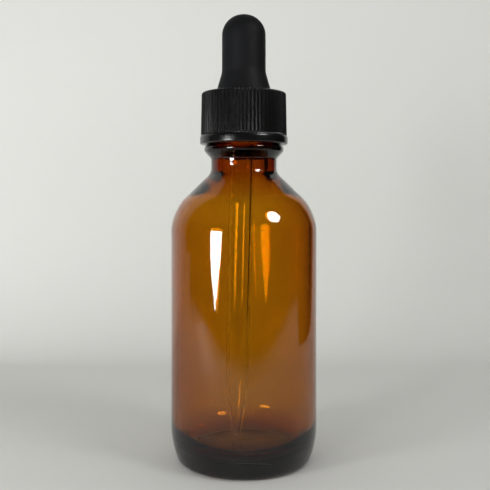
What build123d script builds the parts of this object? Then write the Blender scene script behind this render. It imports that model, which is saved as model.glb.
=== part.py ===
"""Amber glass dropper bottle: a Boston round bottle, a ribbed screw cap, a rubber bulb and a leaning
glass pipette. Millimetres, +Z up, origin on the bottle's axis where its foot rests on the table."""

import os
from math import atan, cos, pi, radians, sin, tan

from build123d import *

os.makedirs("parts", exist_ok=True)

# ---- bottle ----
body_radius = 19.45
bottle_height = 95.2
wall_thickness = 1.9
heel_height = 5.2
heel_inset = 2.1
foot_corner_radius = 2.4
foot_width = 1.0
punt_height = 1.3
base_thickness = 2.6
inner_heel_radius = 4.5
heel_fit = 0.98  # share of the room between its neighbours that the heel's arc takes
shoulder_angle = 46.0  # of the shoulder's cone, from the vertical
shoulder_radius = 12.4
neck_radius = 8.8
neck_height = 3.75  # from the shoulder's cone to the bead
neck_fillet = 2.5
bore_drop = 2.6  # how far the straight bore runs below the foot of the neck
bore_fillet = 3.0

# ---- finish: the bottle's bead and threaded mouth ----
finish_height = 14.85  # from the bead's underside to the lip
finish_radius = 8.75
bead_stand = 1.9  # how far the bead stands out from the finish
bead_slope_height = 2.0
bead_band = 1.15
bead_top_slope = 0.7
bead_fillets = (0.6, 0.9, 0.5, 0.3)
lip_fillet = 0.6

# ---- thread: right-hand, one start, eight turns to the inch ----
thread_pitch = 3.175
thread_height = 1.05
thread_flank = 0.476  # axial lean of a flank for each millimetre of its height
thread_sink = 0.3
glass_thread_crest = 1.1
glass_thread_turns = 1.25
glass_thread_drop = 1.9  # from the lip to the top of the thread's centre line
cap_thread_crest = 0.5
cap_thread_turns = 1.75

# ---- cap ----
cap_top_wall = 1.3
cap_wall = 1.28  # outside the thread, at the top of the grip
grip_draft = 0.22  # how much wider the grip is at its foot
grip_top_band = 0.9
rib_count = 72
rib_groove_radius = 0.29
rim_stand = 0.22  # how far the rim stands out from the grip
rim_height = 1.8
rim_shoulder = 0.45
rim_fillets = (0.5, 0.4)
cap_edge_fillet = 0.6
mouth_chamfer = 0.4

# ---- bulb ----
flange_room = 1.15  # from the flange to the cap's inner wall
flange_thickness = 1.4
bulb_neck_radius = 6.9
collar_radius = 7.4
collar_rise = 0.3
flare_height = 5.5
flare_fillet = 6.0
bulb_height = 21.05  # above the cap
bulb_wall = 1.45
cavity_room = 1.17  # from the tube to the bulb's inner wall
crown_radius = 5.6
bulb_grip = 3.2  # how far above the cap the rubber holds the tube
cavity_fillet = 0.6
flange_fillet = 0.3

# ---- pipette ----
pipette_radius = 3.25
pipette_wall = 0.95
tube_stand = 0.8  # how far the tube stands into the bulb's hollow
tip_lean = 2.2  # how far the tip stands off the bottle's axis
tip_gap = 2.6  # from the bottle's inner floor to the tip
tip_length = 14.0
tip_radius = 1.25
tip_bore_radius = 0.6
tip_fillet = 0.3
taper_fillet = 10.0
tube_mouth_fillet = 0.3

# ---- clearances ----
seat_gap = 0.05  # between flat faces that press together
skirt_gap = 0.65  # from the bottle's bead up to the cap's mouth
hole_gap = 0.12  # around the bulb's neck in the cap
tube_gap = 0.05  # around the tube in the bulb
mouth_gap = 0.15  # the least room that the leaning tube has in the bottle's mouth
flank_gap = 0.3  # axial, on the thread's loaded flank
crest_gap = 0.25  # radial, at the thread's crests

# ---- places that the pieces share ----
bead_radius = finish_radius + bead_stand
bead_bottom = bottle_height - finish_height
bead_crest = bead_bottom + bead_slope_height
bead_top = bead_crest + bead_band
bore_radius = pipette_radius + tip_lean + mouth_gap
floor_height = punt_height + base_thickness
flange_bottom = bottle_height + seat_gap
flange_top = flange_bottom + flange_thickness
cap_ceiling = flange_top + seat_gap
cap_top = cap_ceiling + cap_top_wall
cap_bottom = bead_top + skirt_gap
collar_bottom = cap_top + seat_gap
bulb_top = cap_top + bulb_height
cap_thread_radius = finish_radius + thread_height + crest_gap
bulb_radius = pipette_radius + cavity_room + bulb_wall
engaged_height = thread_height - crest_gap
glass_thread_low = bottle_height - glass_thread_drop - thread_pitch * glass_thread_turns
thread_offset = (glass_thread_crest + cap_thread_crest) / 2 + thread_flank * engaged_height + flank_gap
cap_thread_low = glass_thread_low - thread_offset
pivot_height = (flange_bottom + flange_top) / 2
tip_depth = pivot_height - floor_height - tip_gap
lean = atan(tip_lean / tip_depth)
tube_plane = Plane(origin=(0, 0, pivot_height), x_dir=(cos(lean), 0, -sin(lean)), z_dir=(0, -1, 0))
tube_axis = Axis(origin=(0, 0, pivot_height), direction=(sin(lean), 0, cos(lean)))


def thread_ridge(radius, low, crest, turns, outward):
    """A helical thread whose root is at radius. It stands outward (1) or inward (-1) and starts on the
    X axis at height low, and each end is a turned nose."""
    path = Helix(pitch=thread_pitch, height=thread_pitch * turns, radius=radius, center=(0, 0, low))
    half_root = crest / 2 + thread_flank * (thread_height + thread_sink)
    with BuildPart() as ridge:
        for share in (0, 1):
            angle = 2 * pi * turns * share
            radial = (outward * cos(angle), outward * sin(angle), 0)
            across = Plane(origin=path @ share, x_dir=radial, z_dir=(sin(angle), -cos(angle), 0))
            with BuildSketch(across) as half_tooth:
                with BuildLine():
                    Polyline(
                        (-thread_sink, 0),
                        (-thread_sink, half_root),
                        (thread_height, crest / 2),
                        (thread_height, 0),
                        close=True,
                    )
                make_face()
            if share == 0:
                with BuildSketch(across) as tooth:
                    add(half_tooth.sketch_local)
                    mirror(half_tooth.sketch_local, about=Plane.XZ)
                sweep(tooth.sketch, path=path, is_frenet=True)
            away = 1 - 2 * share
            revolve(half_tooth.sketch, axis=Axis(across.origin, away * across.x_dir), revolution_arc=180)
    return ridge.part


# ---- bottle: amber glass, blown in a two-part mould, with a thick base pushed up inside its foot ----
foot_radius = body_radius - heel_inset
heel_turn = atan(heel_inset / heel_height)
foot_turn = pi / 2 - heel_turn
heel_slope = heel_height / cos(heel_turn)
heel_radius = heel_fit * (heel_slope - foot_corner_radius * tan(foot_turn / 2)) / tan(heel_turn / 2)
stand_radius = foot_radius - foot_corner_radius * tan(foot_turn / 2)
punt_radius = stand_radius - foot_width
neck_foot = bead_bottom - neck_height
shoulder_slope = tan(radians(shoulder_angle))
shoulder_height = neck_foot - (body_radius - neck_radius) / shoulder_slope
inner_radius = body_radius - wall_thickness
inner_shoulder_height = shoulder_height - wall_thickness * tan(radians(shoulder_angle) / 2)

glass_thread = thread_ridge(finish_radius, glass_thread_low, glass_thread_crest, glass_thread_turns, 1)

with BuildPart() as bottle:
    with BuildSketch(Plane.XZ) as outer_section:
        with BuildLine():
            FilletPolyline(
                (0, 0),
                (foot_radius, 0),
                (body_radius, heel_height),
                (body_radius, shoulder_height),
                (neck_radius, neck_foot),
                (neck_radius, bead_bottom),
                (bead_radius, bead_crest),
                (bead_radius, bead_top),
                (finish_radius, bead_top + bead_top_slope),
                (finish_radius, bottle_height),
                radius=[foot_corner_radius, heel_radius, shoulder_radius, neck_fillet, *bead_fillets],
            )
            Polyline((finish_radius, bottle_height), (0, bottle_height), (0, 0))
        make_face()
    revolve(axis=Axis.Z)
    with BuildSketch(Plane.XZ) as inner_section:
        with BuildLine():
            FilletPolyline(
                (0, floor_height),
                (inner_radius, floor_height),
                (inner_radius, inner_shoulder_height),
                (bore_radius, neck_foot - bore_drop),
                (bore_radius, bottle_height),
                radius=[inner_heel_radius, shoulder_radius - wall_thickness, bore_fillet],
            )
            Polyline((bore_radius, bottle_height), (0, bottle_height), (0, floor_height))
        make_face()
    revolve(axis=Axis.Z, mode=Mode.SUBTRACT)
    with BuildSketch(Plane.XZ) as punt_section:
        with BuildLine():
            ThreePointArc((-punt_radius, 0), (0, punt_height), (punt_radius, 0))
            Line((punt_radius, 0), (-punt_radius, 0))
        make_face()
        split(bisect_by=Plane.YZ)
    revolve(axis=Axis.Z, mode=Mode.SUBTRACT)
    fillet(bottle.faces().sort_by(Axis.Z)[-1].edges(), lip_fillet)
    add(glass_thread)

# ---- cap: black moulded plastic, ribbed for the fingers, with a plain rim round its mouth ----
grip_top_radius = cap_thread_radius + cap_wall
grip_bottom_radius = grip_top_radius + grip_draft
rim_radius = grip_bottom_radius + rim_stand
grip_bottom = cap_bottom + rim_height + rim_shoulder
grip_top = cap_top - grip_top_band

cap_thread = thread_ridge(cap_thread_radius, cap_thread_low, cap_thread_crest, cap_thread_turns, -1)

with BuildPart() as cap:
    for height, radius in ((grip_bottom, grip_bottom_radius), (grip_top, grip_top_radius)):
        with BuildSketch(Plane.XY.offset(height)):
            Circle(radius)
            with PolarLocations(radius, rib_count):
                Circle(rib_groove_radius, mode=Mode.SUBTRACT)
    loft(ruled=True)
    with BuildSketch(Plane.XY.offset(grip_top)):
        Circle(grip_top_radius)
    extrude(amount=grip_top_band)
    fillet(cap.faces().sort_by(Axis.Z)[-1].edges(), cap_edge_fillet)
    with BuildSketch(Plane.XZ) as rim_section:
        with BuildLine():
            FilletPolyline(
                (0, cap_bottom),
                (rim_radius, cap_bottom),
                (rim_radius, cap_bottom + rim_height),
                (grip_bottom_radius, grip_bottom),
                radius=rim_fillets,
            )
            Polyline((grip_bottom_radius, grip_bottom), (0, grip_bottom), (0, cap_bottom))
        make_face()
    revolve(axis=Axis.Z)
    with BuildSketch(Plane.XY.offset(cap_bottom)):
        Circle(cap_thread_radius)
    extrude(amount=cap_ceiling - cap_bottom, mode=Mode.SUBTRACT)
    with BuildSketch(Plane.XY.offset(cap_ceiling)):
        Circle(bulb_neck_radius + hole_gap)
    extrude(amount=cap_top_wall, mode=Mode.SUBTRACT)
    mouth_edges = cap.edges().filter_by(GeomType.CIRCLE).group_by(Axis.Z)[0]
    chamfer(mouth_edges.sort_by(SortBy.RADIUS)[0], mouth_chamfer)
    add(cap_thread)

# ---- bulb: black rubber, its flange caught between cap and lip as the seal, its neck on the tube ----
flange_radius = cap_thread_radius - flange_room
cavity_bottom = cap_top + bulb_grip
cavity_radius = bulb_radius - bulb_wall

with BuildPart() as bulb:
    with BuildSketch(Plane.XZ) as bulb_section:
        with BuildLine():
            FilletPolyline(
                (0, flange_bottom),
                (flange_radius, flange_bottom),
                (flange_radius, flange_top),
                (bulb_neck_radius, flange_top),
                radius=flange_fillet,
            )
            Polyline(
                (bulb_neck_radius, flange_top),
                (bulb_neck_radius, collar_bottom),
                (collar_radius, collar_bottom),
                (collar_radius, collar_bottom + collar_rise),
            )
            FilletPolyline(
                (collar_radius, collar_bottom + collar_rise),
                (bulb_radius, cap_top + flare_height),
                (bulb_radius, bulb_top),
                (0, bulb_top),
                radius=[flare_fillet, crown_radius],
            )
            Line((0, bulb_top), (0, flange_bottom))
        make_face()
    revolve(axis=Axis.Z)
    with BuildSketch(Plane.XZ) as cavity_section:
        with BuildLine():
            FilletPolyline(
                (0, cavity_bottom),
                (cavity_radius, cavity_bottom),
                (cavity_radius, bulb_top - bulb_wall),
                (0, bulb_top - bulb_wall),
                radius=[cavity_fillet, crown_radius - bulb_wall],
            )
            Line((0, bulb_top - bulb_wall), (0, cavity_bottom))
        make_face()
    revolve(axis=Axis.Z, mode=Mode.SUBTRACT)
    with BuildSketch(tube_plane) as tube_hole:
        with Locations((0, flange_bottom - pivot_height - flange_thickness)):
            Rectangle(
                pipette_radius + tube_gap,
                cavity_bottom - flange_bottom + 2 * flange_thickness,
                align=(Align.MIN, Align.MIN),
            )
    revolve(axis=tube_axis, mode=Mode.SUBTRACT)

# ---- pipette: a clear glass tube drawn out to a fine tip, leaning a little to one side ----
tube_top = cavity_bottom + tube_stand - pivot_height
tip_end = -tip_depth
tube_bore_radius = pipette_radius - pipette_wall

with BuildPart() as pipette:
    with BuildSketch(tube_plane) as tube_section:
        with BuildLine():
            FilletPolyline(
                (0, tip_end),
                (tip_radius, tip_end),
                (pipette_radius, tip_end + tip_length),
                (pipette_radius, tube_top),
                (0, tube_top),
                radius=[tip_fillet, taper_fillet, tube_mouth_fillet],
            )
            Line((0, tube_top), (0, tip_end))
        make_face()
    revolve(axis=tube_axis)
    with BuildSketch(tube_plane) as tube_bore:
        with BuildLine():
            FilletPolyline(
                (tip_bore_radius, tip_end),
                (tube_bore_radius, tip_end + tip_length),
                (tube_bore_radius, tube_top),
                radius=taper_fillet,
            )
            Polyline((tube_bore_radius, tube_top), (0, tube_top), (0, tip_end), (tip_bore_radius, tip_end))
        make_face()
    revolve(axis=tube_axis, mode=Mode.SUBTRACT)

for name, piece in {"bottle": bottle, "pipette": pipette, "bulb": bulb, "cap": cap}.items():
    piece.part.label = name
    export_step(piece.part, f"parts/{name}.step")
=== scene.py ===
"""Looks of the amber dropper bottle: bottle, pipette, bulb and cap, then the plain studio around it."""

import math

import bmesh
import bpy
from mathutils import Matrix, Vector, noise


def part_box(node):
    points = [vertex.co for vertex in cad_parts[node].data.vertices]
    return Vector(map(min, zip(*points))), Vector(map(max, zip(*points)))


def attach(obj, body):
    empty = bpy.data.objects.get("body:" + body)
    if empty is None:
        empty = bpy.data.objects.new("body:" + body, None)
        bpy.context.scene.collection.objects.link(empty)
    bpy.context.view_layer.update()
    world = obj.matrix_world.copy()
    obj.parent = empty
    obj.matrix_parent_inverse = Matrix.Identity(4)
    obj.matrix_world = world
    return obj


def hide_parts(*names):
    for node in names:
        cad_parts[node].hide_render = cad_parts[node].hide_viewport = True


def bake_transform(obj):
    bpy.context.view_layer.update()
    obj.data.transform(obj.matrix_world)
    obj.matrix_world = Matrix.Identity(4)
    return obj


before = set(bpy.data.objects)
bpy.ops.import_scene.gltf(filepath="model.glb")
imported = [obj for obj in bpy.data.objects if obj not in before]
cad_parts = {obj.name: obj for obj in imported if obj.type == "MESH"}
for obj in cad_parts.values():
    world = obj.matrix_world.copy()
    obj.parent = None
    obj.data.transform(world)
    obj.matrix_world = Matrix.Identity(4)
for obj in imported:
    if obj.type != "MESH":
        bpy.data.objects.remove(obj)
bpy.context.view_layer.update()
MM = 0.001

# ---------------------------------------------------------------------------------------------------
# Bottle: amber glass, blown in a two-part mould. The foot is a narrow ring round a pushed-up base, the
# bead under the cap is where the mould's neck ring gripped it, and the thread is part of the glass.
# ---------------------------------------------------------------------------------------------------
bottle_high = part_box("bottle")[1]
body_radius = bottle_high[0]
lip_height = bottle_high[2]


def deselect():
    bpy.ops.object.select_all(action="DESELECT")


def select_verts(piece, wanted):
    """Select the vertices of a piece in edit mode whose position passes a test."""
    bpy.ops.mesh.select_mode(type="VERT")
    bpy.ops.mesh.select_all(action="DESELECT")
    shape = bmesh.from_edit_mesh(piece.data)
    for vert in shape.verts:
        vert.select = wanted(vert.co)
    shape.select_flush_mode()
    bmesh.update_edit_mesh(piece.data)


def drawn_outline(name, corners, closed=False):
    """Draw an outline in the XZ plane, point by point, and round its corners. A corner is
    (radius, height, rounding), where rounding is the radius of the arc that replaces it."""
    deselect()
    bpy.ops.mesh.primitive_circle_add(vertices=3, radius=MM, fill_type="NOTHING")
    piece = bpy.context.object
    piece.name = piece.data.name = name
    bpy.ops.object.mode_set(mode="EDIT")
    bpy.ops.mesh.select_mode(type="VERT")
    shape = bmesh.from_edit_mesh(piece.data)
    shape.verts.ensure_lookup_table()
    bmesh.ops.delete(shape, geom=shape.verts[1:], context="VERTS")
    shape.verts.ensure_lookup_table()
    places = [Vector((radius, 0, height)) for radius, height, _ in corners]
    shape.verts[0].co = places[0]
    shape.verts[0].select = True
    bmesh.update_edit_mesh(piece.data)
    for here, there in zip(places, places[1:]):
        bpy.ops.mesh.extrude_region_move(TRANSFORM_OT_translate={"value": there - here})
    if closed:
        select_verts(piece, lambda co: min((co - places[0]).length, (co - places[-1]).length) < MM / 100)
        bpy.ops.mesh.edge_face_add()
    count = len(places)
    for index, (_, _, rounding) in enumerate(corners):
        if not rounding:
            continue
        corner = places[index]
        before = (places[index - 1] - corner).normalized()
        after = (places[(index + 1) % count] - corner).normalized()
        turn = math.pi - before.angle(after)
        select_verts(piece, lambda co: (co - corner).length < MM / 100)
        offset = rounding * math.tan(turn / 2)
        segments = max(4, round(turn / math.radians(5)))
        bpy.ops.mesh.bevel(affect="VERTICES", offset=offset, segments=segments)
    return piece


def spun(piece, steps, smooth_angle=40):
    """Spin the outline that is being edited into a closed solid about the Z axis."""
    bpy.ops.mesh.select_all(action="SELECT")
    bpy.ops.mesh.spin(steps=steps, angle=2 * math.pi, center=(0, 0, 0), axis=(0, 0, 1))
    bpy.ops.mesh.select_all(action="SELECT")
    bpy.ops.mesh.remove_doubles(threshold=MM / 1000)
    bpy.ops.mesh.normals_make_consistent(inside=False)
    bpy.ops.object.mode_set(mode="OBJECT")
    bpy.ops.object.shade_smooth_by_angle(angle=math.radians(smooth_angle))
    return piece


def even_out(piece, longest, low=-1, high=1, inner=-1, outer=1):
    """Cut the outline's runs between two heights and two radii into pieces no longer than longest."""
    shape = bmesh.from_edit_mesh(piece.data)
    for edge in [edge for edge in shape.edges if edge.calc_length() > longest]:
        if all(low <= vert.co.z <= high and inner <= vert.co.x <= outer for vert in edge.verts):
            cuts = math.ceil(edge.calc_length() / longest) - 1
            bmesh.ops.subdivide_edges(shape, edges=[edge], cuts=cuts)
    bmesh.update_edit_mesh(piece.data)


def ledge(piece, low, high, radius):
    """Put a point at each of two heights on the outline's wall of this radius, or on its outer wall."""
    shape = bmesh.from_edit_mesh(piece.data)
    for height in (low, high):
        crossed = [
            edge
            for edge in shape.edges
            if min(vert.co.z for vert in edge.verts) < height < max(vert.co.z for vert in edge.verts)
            and (radius is None or all(abs(vert.co.x - radius) < MM / 100 for vert in edge.verts))
        ]
        edge = max(crossed, key=lambda edge: edge.verts[0].co.x)
        one, two = edge.verts
        bmesh.utils.edge_split(edge, one, (height - one.co.z) / (two.co.z - one.co.z))
    bmesh.update_edit_mesh(piece.data)


def raise_thread(piece, radius, low, turns, height, crest, flank, outward):
    """Raise a one-start right-hand thread on the wall of this radius. It starts on the +X side at
    height low, rises anticlockwise, and fades into the wall over an eighth of a turn at each end."""
    for vert in piece.data.vertices:
        x, y, z = vert.co
        distance = math.hypot(x, y)
        if abs(distance - radius) > MM / 50:
            continue
        angle = math.atan2(y, x) % (2 * math.pi) / (2 * math.pi)
        rise = 0
        for whole in range(math.ceil(turns) + 1):
            turn = angle + whole
            if turn <= turns:
                away = abs(z - low - thread_pitch * turn)
                profile = min(max((crest / 2 + flank - away) / flank, 0), 1)
                fade = min(1, min(turn, turns - turn) * 8)
                rise = max(rise, height * profile * math.sin(fade * math.pi / 2))
        grown = (distance + (rise if outward else -rise)) / distance
        vert.co = (x * grown, y * grown, z)


wall = 1.9 * MM
finish_radius = 8.75 * MM
neck_radius = 8.8 * MM
bead_radius = 10.65 * MM
bead_bottom = lip_height - 14.85 * MM
neck_foot = bead_bottom - 3.75 * MM
shoulder_angle = math.radians(46)
shoulder_height = neck_foot - (body_radius - neck_radius) / math.tan(shoulder_angle)
heel_height = 5.2 * MM
foot_radius = body_radius - 2.1 * MM
punt_height = 1.3 * MM
floor_height = 4.4 * MM
bore_radius = 5.6 * MM
shoulder_wall = 1.2 * MM
inner_radius = body_radius - wall
slope = Vector((math.sin(shoulder_angle), -math.cos(shoulder_angle)))
inside = Vector((neck_radius, neck_foot)) - shoulder_wall * Vector((-slope.y, slope.x))
inner_shoulder = inside + slope * (inner_radius - inside.x) / slope.x
waist = 0.07 * MM
thread_pitch = 3.175 * MM
thread_height = 1.05 * MM
thread_flank = 0.476 * MM
glass_thread_low = 89.331 * MM
glass_thread_turns = 1.25
glass_thread_crest = 1.1 * MM

bottle = drawn_outline(
    "bottle_glass",
    [
        (0, punt_height, 0),
        (9.0 * MM, 1.0 * MM, 20 * MM),
        (14.6 * MM, 0, 0.4 * MM),
        (foot_radius, 0, 2.3 * MM),
        (body_radius - 0.02 * MM, heel_height, 19 * MM),
        (body_radius - waist, (heel_height + shoulder_height) / 2, 2500 * MM),
        (body_radius, shoulder_height, 12.4 * MM),
        (neck_radius, neck_foot, 2.5 * MM),
        (neck_radius, bead_bottom, 0.6 * MM),
        (bead_radius, bead_bottom + 2.0 * MM, 0.9 * MM),
        (bead_radius, bead_bottom + 3.15 * MM, 0.5 * MM),
        (finish_radius, bead_bottom + 3.85 * MM, 0.3 * MM),
        (finish_radius, lip_height, 0.6 * MM),
        (bore_radius, lip_height, 0.6 * MM),
        (bore_radius, neck_foot - 0.4 * MM, 3.2 * MM),
        (inner_shoulder.x, inner_shoulder.y, 10.5 * MM),
        (inner_radius, floor_height, 6.5 * MM),
        (0, floor_height, 0),
    ],
)
ledge(bottle, lip_height - 7.4 * MM, lip_height - 0.75 * MM, finish_radius)
even_out(bottle, 0.15 * MM, lip_height - 7.5 * MM, lip_height - 0.7 * MM, inner=8 * MM)
even_out(bottle, 1.2 * MM)
spun(bottle, 192)
inner_unevenness = 0.16 * MM
outer_unevenness = 0.02 * MM
outward = [vert.normal.copy() for vert in bottle.data.vertices]
for vert, normal in zip(bottle.data.vertices, outward):
    x, y, z = vert.co
    blown = normal.x * x + normal.y * y < 0 and 5 * MM < z < neck_foot
    uneven = noise.noise(Vector((x * 70, y * 70, z * 22))) * (inner_unevenness if blown else outer_unevenness)
    if blown:
        rings = max(0, 1 - abs(z - 69.5 * MM) / (3.5 * MM))
        uneven += 0.01 * MM * rings * math.sin(z / MM * 5.5 + 2 * math.sin(z / MM * 1.7))
    if 2 * MM < z < bead_bottom - MM:
        vert.co = vert.co + normal * uneven * min(1, (z - 2 * MM) / (4 * MM))
raise_thread(
    bottle,
    finish_radius,
    glass_thread_low,
    glass_thread_turns,
    thread_height,
    glass_thread_crest,
    thread_flank,
    True,
)


def node(tree, kind, place, **settings):
    """Add a shader node at a place in the editor and set what it is given, by socket name."""
    made = tree.nodes.new(kind)
    made.location = (place[0] * 200, place[1] * -180)
    for name, value in settings.items():
        if hasattr(made, name):
            setattr(made, name, value)
        else:
            made.inputs[name.replace("_", " ")].default_value = value
    return made


def new_material(name):
    material = bpy.data.materials.new(name)
    material.use_nodes = True
    tree = material.node_tree
    shader = tree.nodes["Principled BSDF"]
    return material, tree, shader


amber, tree, shader = new_material("amber_glass")
shader.inputs["Base Color"].default_value = (1, 1, 1, 1)
shader.inputs["Roughness"].default_value = 0.0
shader.inputs["IOR"].default_value = 1.52
shader.inputs["Transmission Weight"].default_value = 1.0
absorb = node(tree, "ShaderNodeVolumeAbsorption", (1, 2))
absorb.inputs["Color"].default_value = (0.883, 0.722, 0.0, 1)
absorb.inputs["Density"].default_value = 1800.0
tree.links.new(absorb.outputs["Volume"], tree.nodes["Material Output"].inputs["Volume"])

bottle.data.materials.append(amber)
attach(bottle, "bottle")
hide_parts("bottle")

# ---------------------------------------------------------------------------------------------------
# Pipette: a clear glass tube, drawn out to a fine tip and fire-polished. Its top is pushed into the
# bulb's neck, and it leans a little to the left.
# ---------------------------------------------------------------------------------------------------
tube_radius = 3.25 * MM
tube_bore = 2.3 * MM
tip_lean = 2.2 * MM
pivot_height = lip_height + 0.75 * MM
tip_height = 6.5 * MM
lean = math.atan(tip_lean / (pivot_height - tip_height))
tube_top = pivot_height + 6.05 * MM
tip_length = 14 * MM
tip_radius = 1.25 * MM
tip_bore = 0.6 * MM

pipette = drawn_outline(
    "pipette_tube",
    [
        (tip_radius, tip_height, 0.3 * MM),
        (tube_radius, tip_height + tip_length, 10 * MM),
        (tube_radius, tube_top, 0.3 * MM),
        (tube_bore, tube_top, 0.3 * MM),
        (tube_bore, tip_height + tip_length, 10 * MM),
        (tip_bore, tip_height, 0.15 * MM),
    ],
    closed=True,
)
even_out(pipette, 3 * MM)
spun(pipette, 96)
pipette.data.transform(
    Matrix.Translation((0, 0, pivot_height))
    @ Matrix.Rotation(lean, 4, "Y")
    @ Matrix.Translation((0, 0, -pivot_height))
)

clear, tree, shader = new_material("clear_glass")
shader.inputs["Base Color"].default_value = (1, 1, 1, 1)
shader.inputs["Roughness"].default_value = 0.0
shader.inputs["IOR"].default_value = 1.51
shader.inputs["Transmission Weight"].default_value = 1.0
pipette.data.materials.append(clear)
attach(pipette, "dropper")
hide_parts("pipette")

# ---------------------------------------------------------------------------------------------------
# Bulb: black rubber, moulded in one hollow piece and left matte. Its flange is caught between the cap
# and the bottle's lip as the seal, and its thick neck grips the tube.
# ---------------------------------------------------------------------------------------------------
bulb_low, bulb_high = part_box("bulb")
cap_low, cap_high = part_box("cap")
bulb_bottom, bulb_top = bulb_low[2], bulb_high[2]
cap_bottom, cap_top = cap_low[2], cap_high[2]
flange_radius = 8.9 * MM
bulb_neck_radius = 6.9 * MM
collar_radius = 7.4 * MM
bulb_radius = 5.87 * MM
bulb_wall = 1.45 * MM
crown_radius = 5.6 * MM
grip_hole_radius = 3.45 * MM
cavity_bottom = cap_top + 3.2 * MM

bulb = drawn_outline(
    "rubber_bulb",
    [
        (0, bulb_top, 0),
        (bulb_radius, bulb_top, crown_radius),
        (bulb_radius, cap_top + 5.5 * MM, 6.0 * MM),
        (collar_radius, cap_top + 0.35 * MM, 0.25 * MM),
        (collar_radius, cap_top + 0.05 * MM, 0.1 * MM),
        (bulb_neck_radius, cap_top + 0.05 * MM, 0),
        (bulb_neck_radius, bulb_bottom + 1.4 * MM, 0.2 * MM),
        (flange_radius, bulb_bottom + 1.4 * MM, 0.3 * MM),
        (flange_radius, bulb_bottom, 0.3 * MM),
        (grip_hole_radius, bulb_bottom, 0.15 * MM),
        (grip_hole_radius, cavity_bottom, 0.15 * MM),
        (bulb_radius - bulb_wall, cavity_bottom, 0.6 * MM),
        (bulb_radius - bulb_wall, bulb_top - bulb_wall, crown_radius - bulb_wall),
        (0, bulb_top - bulb_wall, 0),
    ],
)
even_out(bulb, 0.8 * MM)
spun(bulb, 128)


def grain_group():
    """Fine uneven grain and specks of dust, for moulded rubber and plastic."""
    group = bpy.data.node_groups.new("moulded_grain", "ShaderNodeTree")
    for name, value in (("Scale", 9000.0), ("Dust", 0.5)):
        socket = group.interface.new_socket(name, in_out="INPUT", socket_type="NodeSocketFloat")
        socket.default_value = value
    for name in ("Height", "Dust", "Wear"):
        group.interface.new_socket(name, in_out="OUTPUT", socket_type="NodeSocketFloat")
    start = node(group, "NodeGroupInput", (-4, 0))
    end = node(group, "NodeGroupOutput", (2, 0))
    place = node(group, "ShaderNodeTexCoord", (-4, 2))
    fine = node(group, "ShaderNodeTexNoise", (-2, 2), Detail=3.0, Roughness=0.6)
    specks = node(group, "ShaderNodeTexVoronoi", (-2, 0), Scale=900.0, Randomness=1.0)
    near = node(group, "ShaderNodeMapRange", (-1, 0), From_Min=0.10, From_Max=0.05)
    some = node(group, "ShaderNodeTexNoise", (-2, -2), Scale=600.0, Detail=2.0)
    patch = node(group, "ShaderNodeMapRange", (-1, -2), From_Min=0.55, From_Max=0.7)
    both = node(group, "ShaderNodeMath", (0, -1), operation="MULTIPLY")
    dusty = node(group, "ShaderNodeMath", (1, -1), operation="MULTIPLY")
    link = group.links.new
    for texture in (fine, specks, some):
        link(place.outputs["Object"], texture.inputs["Vector"])
    link(start.outputs["Scale"], fine.inputs["Scale"])
    link(specks.outputs["Distance"], near.inputs["Value"])
    link(some.outputs["Fac"], patch.inputs["Value"])
    link(near.outputs["Result"], both.inputs[0])
    link(patch.outputs["Result"], both.inputs[1])
    link(both.outputs["Value"], dusty.inputs[0])
    link(start.outputs["Dust"], dusty.inputs[1])
    link(fine.outputs["Fac"], end.inputs["Height"])
    link(dusty.outputs["Value"], end.inputs["Dust"])
    link(some.outputs["Fac"], end.inputs["Wear"])
    return group


moulded_grain = grain_group()


def moulded(name, dark, pale, smooth, rough, grain_scale, depth, dust):
    """A moulded black material: colour, roughness and grain that vary over the surface."""
    material, tree, shader = new_material(name)
    grain = node(tree, "ShaderNodeGroup", (-4, 0))
    grain.node_tree = moulded_grain
    grain.inputs["Scale"].default_value = grain_scale
    grain.inputs["Dust"].default_value = dust
    tint = node(tree, "ShaderNodeMix", (-2, 2), data_type="RGBA")
    tint.inputs["A"].default_value = (*dark, 1)
    tint.inputs["B"].default_value = (*pale, 1)
    rough_range = node(tree, "ShaderNodeMapRange", (-2, 0), From_Min=0.3, From_Max=0.7)
    rough_range.inputs["To Min"].default_value = smooth
    rough_range.inputs["To Max"].default_value = rough
    bump = node(tree, "ShaderNodeBump", (-2, -2), Strength=1.0, Distance=depth)
    link = tree.links.new
    link(grain.outputs["Dust"], tint.inputs["Factor"])
    link(tint.outputs["Result"], shader.inputs["Base Color"])
    link(grain.outputs["Wear"], rough_range.inputs["Value"])
    link(rough_range.outputs["Result"], shader.inputs["Roughness"])
    link(grain.outputs["Height"], bump.inputs["Height"])
    link(bump.outputs["Normal"], shader.inputs["Normal"])
    return material, tree, shader


rubber, tree, shader = moulded(
    "black_rubber", (0.006, 0.0062, 0.007), (0.03, 0.03, 0.029), 0.55, 0.65, 9000, 0.000006, 0.6
)
shader.inputs["Specular IOR Level"].default_value = 0.1
bulb.data.materials.append(rubber)
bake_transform(bulb)
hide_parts("bulb")

# ---------------------------------------------------------------------------------------------------
# Cap: black plastic, moulded, with 72 fine ribs for grip that stop above a smooth flared band. The
# thread inside is the cap's own, and the bulb's neck comes up through the hole in its top.
# ---------------------------------------------------------------------------------------------------
cap_thread_radius = 10.05 * MM
cap_thread_low = 87.85 * MM
cap_thread_turns = 1.75
cap_thread_crest = 0.5 * MM
cap_ceiling = cap_top - 1.3 * MM
cap_hole_radius = bulb_neck_radius + 0.12 * MM
grip_top_radius = 11.33 * MM
grip_bottom_radius = 11.55 * MM
grip_bottom = cap_bottom + 2.25 * MM
rim_radius = cap_high[0]
rib_count = 72
steps_per_rib = 10
groove_depth = 0.3 * MM

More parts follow.
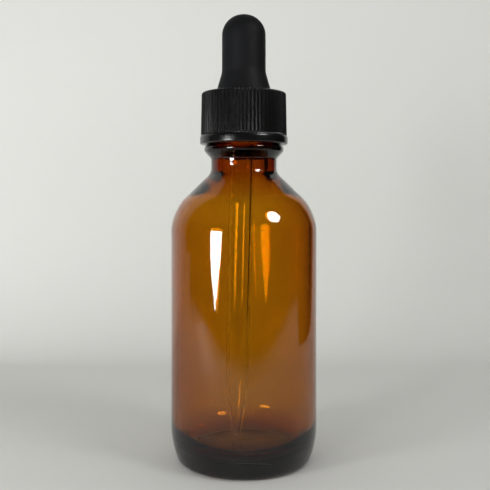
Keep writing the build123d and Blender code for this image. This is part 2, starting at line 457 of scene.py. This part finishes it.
cap = drawn_outline(
    "ribbed_cap",
    [
        (cap_thread_radius + 0.4 * MM, cap_bottom, 0.1 * MM),
        (rim_radius, cap_bottom, 0.5 * MM),
        (rim_radius, cap_bottom + 1.8 * MM, 0.4 * MM),
        (grip_bottom_radius, grip_bottom, 0.15 * MM),
        (grip_top_radius, cap_top, 0.6 * MM),
        (cap_hole_radius, cap_top, 0.15 * MM),
        (cap_hole_radius, cap_ceiling, 0),
        (cap_thread_radius, cap_ceiling, 0.2 * MM),
        (cap_thread_radius, cap_bottom + 0.4 * MM, 0.1 * MM),
    ],
    closed=True,
)
even_out(cap, 0.3 * MM, cap_bottom + 0.5 * MM, cap_ceiling - 0.1 * MM, outer=10.2 * MM)
even_out(cap, 2.5 * MM)
ledge(cap, grip_bottom + 0.15 * MM, grip_bottom + 0.55 * MM, None)
even_out(cap, 0.08 * MM, grip_bottom + 0.1 * MM, grip_bottom + 0.6 * MM, inner=11 * MM)
spun(cap, rib_count * steps_per_rib, 50)
raise_thread(
    cap,
    cap_thread_radius,
    cap_thread_low,
    cap_thread_turns,
    thread_height,
    cap_thread_crest,
    thread_flank,
    False,
)
pitch_angle = 2 * math.pi / rib_count
for vert in cap.data.vertices:
    x, y, z = vert.co
    distance = math.hypot(x, y)
    if distance > 10.7 * MM and z > grip_bottom + 0.1 * MM:
        share = (z - grip_bottom) / (cap_top - grip_bottom)
        wall_radius = grip_bottom_radius + (grip_top_radius - grip_bottom_radius) * share
        step = math.atan2(y, x) / pitch_angle
        depth = groove_depth * (0.5 + 0.5 * math.cos(2 * math.pi * step))
        rounding = min((z - grip_bottom - 0.1 * MM) / (0.35 * MM), 1)
        floor = wall_radius - depth * math.sqrt(rounding * (2 - rounding))
        if floor < distance:
            vert.co = (x * floor / distance, y * floor / distance, z)

plastic, tree, shader = moulded(
    "black_plastic", (0.0035, 0.0034, 0.0033), (0.03, 0.03, 0.027), 0.2, 0.24, 5000, 0.000001, 0.35
)
shader.inputs["Specular IOR Level"].default_value = 0.48
cap.data.materials.append(plastic)
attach(cap, "cap")
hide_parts("cap")

# ---------------------------------------------------------------------------------------------------
# Studio: a pale sweep of paper whose rounded front sheet fades out into the dark room, painted shade of the
# floor in front lying in shadow, in soft light from all round, with a window at the front left and a small
# round lamp at the front right.
# ---------------------------------------------------------------------------------------------------
deselect()
bpy.ops.mesh.primitive_plane_add(size=1)
sweep = bpy.context.object
sweep.name = "paper_sweep"
bpy.ops.object.mode_set(mode="EDIT")
shape = bmesh.from_edit_mesh(sweep.data)
for vert in shape.verts:
    vert.co = (-0.8 if vert.co.x < 0 else 0.18, 0 if vert.co.y < 0 else 0.17, 0)
bmesh.update_edit_mesh(sweep.data)
select_verts(sweep, lambda co: co.y > 0.1)
bpy.ops.mesh.extrude_region_move(TRANSFORM_OT_translate={"value": (0, 0, 0.8)})
select_verts(sweep, lambda co: co.y > 0.1 and co.z < MM)
bpy.ops.mesh.select_mode(type="EDGE")
bpy.ops.mesh.bevel(affect="EDGES", offset=0.06, segments=24)
bpy.ops.object.mode_set(mode="OBJECT")
bpy.ops.object.shade_smooth()
deselect()
bpy.ops.mesh.primitive_circle_add(vertices=128, radius=1, fill_type="NGON")
front = bpy.context.object
front.name = "paper_front"
for vert in front.data.vertices:
    vert.co = (vert.co.x * 0.42, min(vert.co.y * 0.19, 0), 0)
paper, tree, shader = new_material("pale_paper")
shader.inputs["Base Color"].default_value = (0.66, 0.665, 0.64, 1)
shader.inputs["Roughness"].default_value = 0.9
shader.inputs["Specular IOR Level"].default_value = 0.1
# The front sheet fades out in an oval towards the camera into the dark room. This is painted shade where the
# floor in front lies in shadow; the paper behind the middle stays whole.
place = node(tree, "ShaderNodeTexCoord", (-6, 0))
painted_shade_oval = node(tree, "ShaderNodeMapping", (-5, 0))
painted_shade_oval.inputs["Scale"].default_value = (1 / 0.30, 1 / 0.13, 0)
away = node(tree, "ShaderNodeVectorMath", (-3, 0), operation="LENGTH")
fade = node(tree, "ShaderNodeMapRange", (-2, 0), interpolation_type="SMOOTHSTEP")
fade.inputs["From Min"].default_value = 1.35
fade.inputs["From Max"].default_value = 0.8
front_only = node(tree, "ShaderNodeSeparateXYZ", (-4, -2))
behind = node(tree, "ShaderNodeMath", (-3, -2), operation="GREATER_THAN")
behind.inputs[1].default_value = 0.0
either = node(tree, "ShaderNodeMath", (-1, 0), operation="MAXIMUM")
tree.links.new(place.outputs["Object"], painted_shade_oval.inputs["Vector"])
tree.links.new(painted_shade_oval.outputs["Vector"], away.inputs[0])
tree.links.new(place.outputs["Object"], front_only.inputs["Vector"])
tree.links.new(front_only.outputs["Y"], behind.inputs[0])
tree.links.new(away.outputs["Value"], fade.inputs["Value"])
tree.links.new(fade.outputs["Result"], either.inputs[0])
tree.links.new(behind.outputs["Value"], either.inputs[1])
tree.links.new(either.outputs["Value"], shader.inputs["Alpha"])
for sheet in (sweep, front):
    sheet.data.materials.append(paper)

world = bpy.data.worlds.new("room")
bpy.context.scene.world = world
world.use_nodes = True
room = world.node_tree
path = room.nodes.new("ShaderNodeLightPath")
lit = room.nodes.new("ShaderNodeMapRange")
lit.inputs["To Min"].default_value = 0.02
lit.inputs["To Max"].default_value = 0.52
seen = room.nodes.new("ShaderNodeMath")
seen.operation = "MAXIMUM"
room.links.new(path.outputs["Is Camera Ray"], seen.inputs[0])
room.links.new(path.outputs["Is Diffuse Ray"], seen.inputs[1])
room.links.new(seen.outputs["Value"], lit.inputs["Value"])
room.links.new(lit.outputs["Result"], room.nodes["Background"].inputs["Strength"])
room.nodes["Background"].inputs["Color"].default_value = (1, 1, 0.98, 1)


def lamp(name, place, aim, energy, size, size_y=None, shape="RECTANGLE", mirrored=False):
    data = bpy.data.lights.new(name, "AREA")
    data.energy = energy
    data.shape = shape
    data.size = size
    if size_y:
        data.size_y = size_y
    made = bpy.data.objects.new(name, data)
    bpy.context.scene.collection.objects.link(made)
    made.location = place
    made.rotation_euler = (Vector(aim) - Vector(place)).to_track_quat("-Z", "Y").to_euler()
    made.visible_camera = False
    made.visible_glossy = made.visible_transmission = mirrored
    made.visible_diffuse = not mirrored
    return made


middle = (0, 0, 0.06)
round_lamp_place = (0.33, -0.246, 0.34)
card = drawn_outline(
    "window_card",
    [
        (-0.052, 0.094, 0.026),
        (0.052, 0.094, 0.026),
        (0.046, 0.040, 0.05),
        (-0.010, 0.001, 0.004),
        (-0.046, 0.030, 0.02),
    ],
    closed=True,
)
bpy.ops.mesh.select_all(action="SELECT")
bpy.ops.mesh.edge_face_add()
bpy.ops.object.mode_set(mode="OBJECT")
card.data.transform(Matrix.Translation((-0.186, -0.209, 0)) @ Matrix.Rotation(math.radians(-42), 4, "Z"))
glow, tree, shader = new_material("window_glow")
shader.inputs["Base Color"].default_value = (0, 0, 0, 1)
shader.inputs["Emission Color"].default_value = (1, 1, 1, 1)
shader.inputs["Emission Strength"].default_value = 25.0
card.data.materials.append(glow)
card.visible_camera = card.visible_diffuse = False
lamp("round_lamp_mirrored", round_lamp_place, middle, 1.8, 0.17, None, "DISK", mirrored=True)
lamp("round_lamp", round_lamp_place, middle, 0.5, 0.17, None, "DISK")
lamp("window", (-0.211, -0.184, 0.05), middle, 0.9, 0.1, 0.08)
lamp("wall_wash", (-0.30, -0.445, 0.12), (-0.016, 0.17, 0.055), 0.95, 0.12, 0.12)

frame_width = 490
camera_data = bpy.data.cameras.new("camera")
camera = bpy.data.objects.new("camera", camera_data)
bpy.context.scene.collection.objects.link(camera)
camera.location = (0, -0.2, 0.0693)
camera.rotation_euler = (math.pi / 2, 0, 0)
camera_data.sensor_width = 36
camera_data.lens = 743.9 / frame_width * camera_data.sensor_width
camera_data.shift_y = -45 / frame_width
camera_data.shift_x = 1.15 / frame_width
camera_data.clip_start = 0.01
bpy.context.scene.camera = camera
bpy.context.scene.view_settings.view_transform = "Standard"
